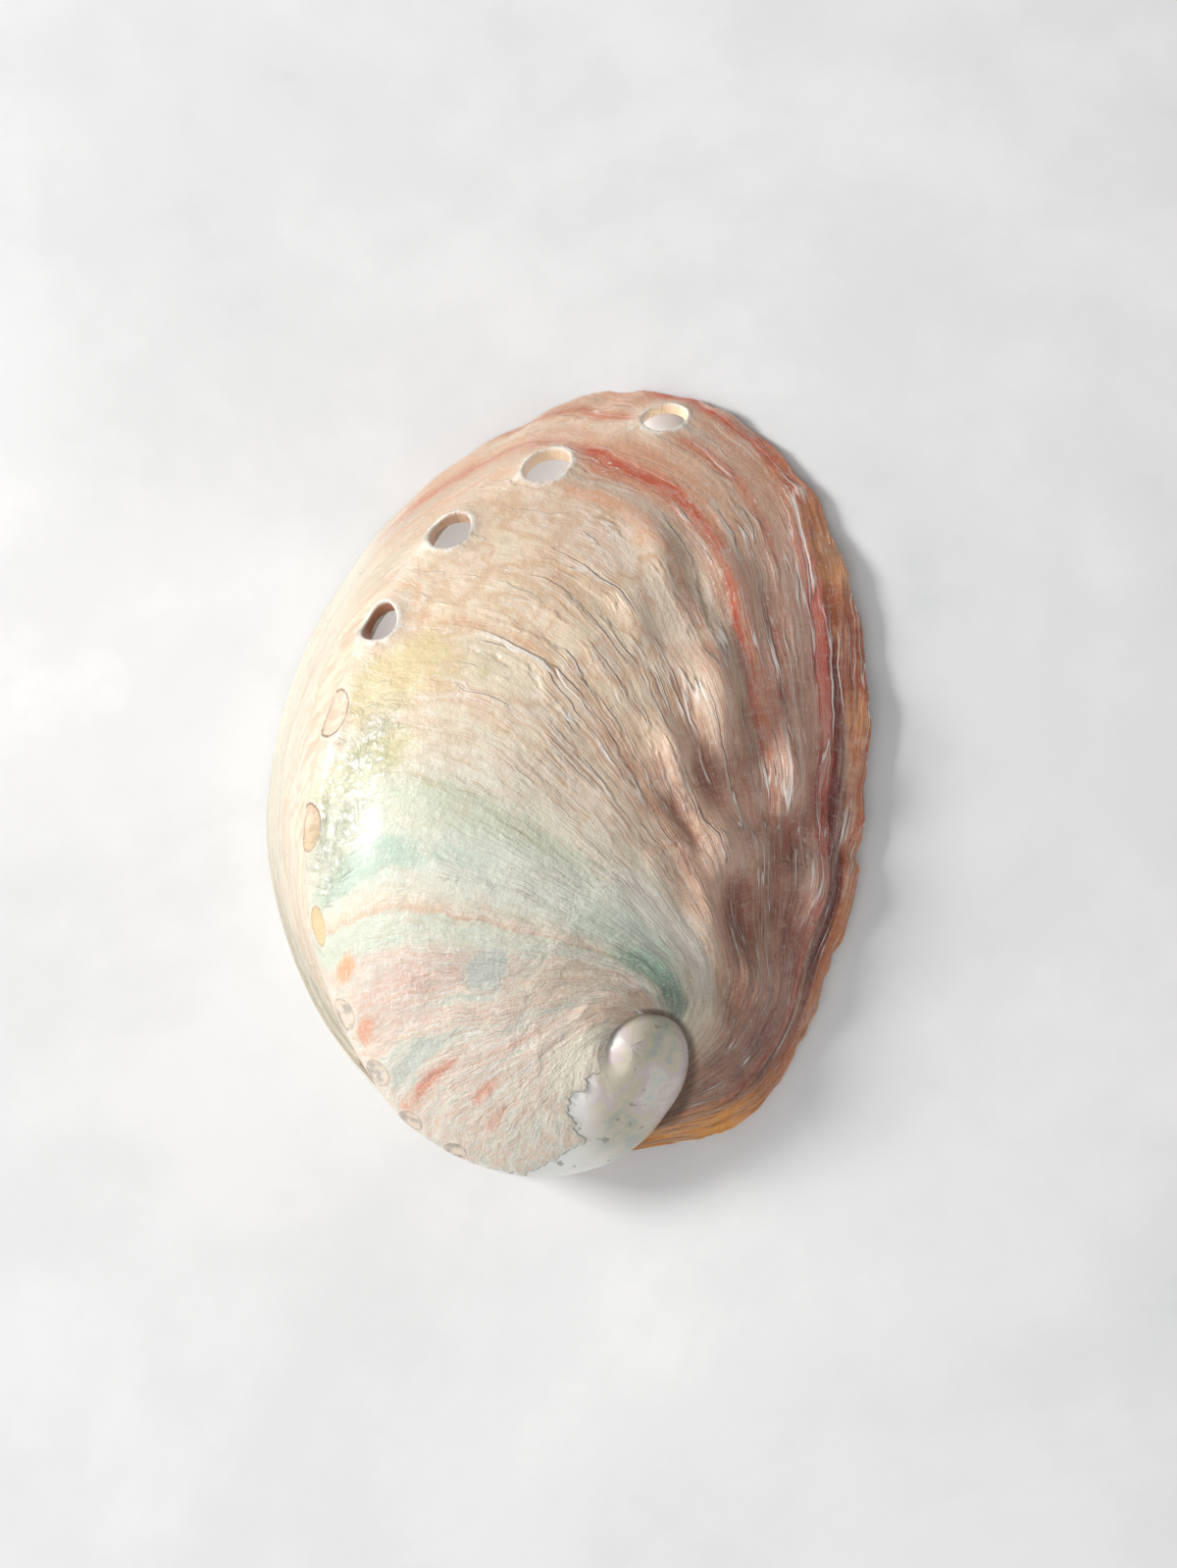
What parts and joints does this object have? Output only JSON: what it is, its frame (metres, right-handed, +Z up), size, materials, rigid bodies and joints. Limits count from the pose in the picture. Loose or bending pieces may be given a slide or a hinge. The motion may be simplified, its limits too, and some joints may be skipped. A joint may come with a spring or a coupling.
{
  "type": "abalone shell",
  "caption": "Dried abalone shell lying mouth down: a low domed whorl with a small worn spire, a row of open and healed pores and a nacre-lined hollow.",
  "frame": {"origin": "on the table, under the middle of the shell's box", "axes": "+Z up out of the dome, +Y towards the newest pores at the front of the shell, +X towards the thin outer lip"},
  "size_m": [0.0764, 0.1, 0.025],
  "materials": {
    "shell": "naturally polished tan shell with red-orange, cream and green growth bands outside, silvery iridescent nacre inside"
  },
  "bodies": {
    "root": {"shell": "shell"}
  },
  "joints": []
}
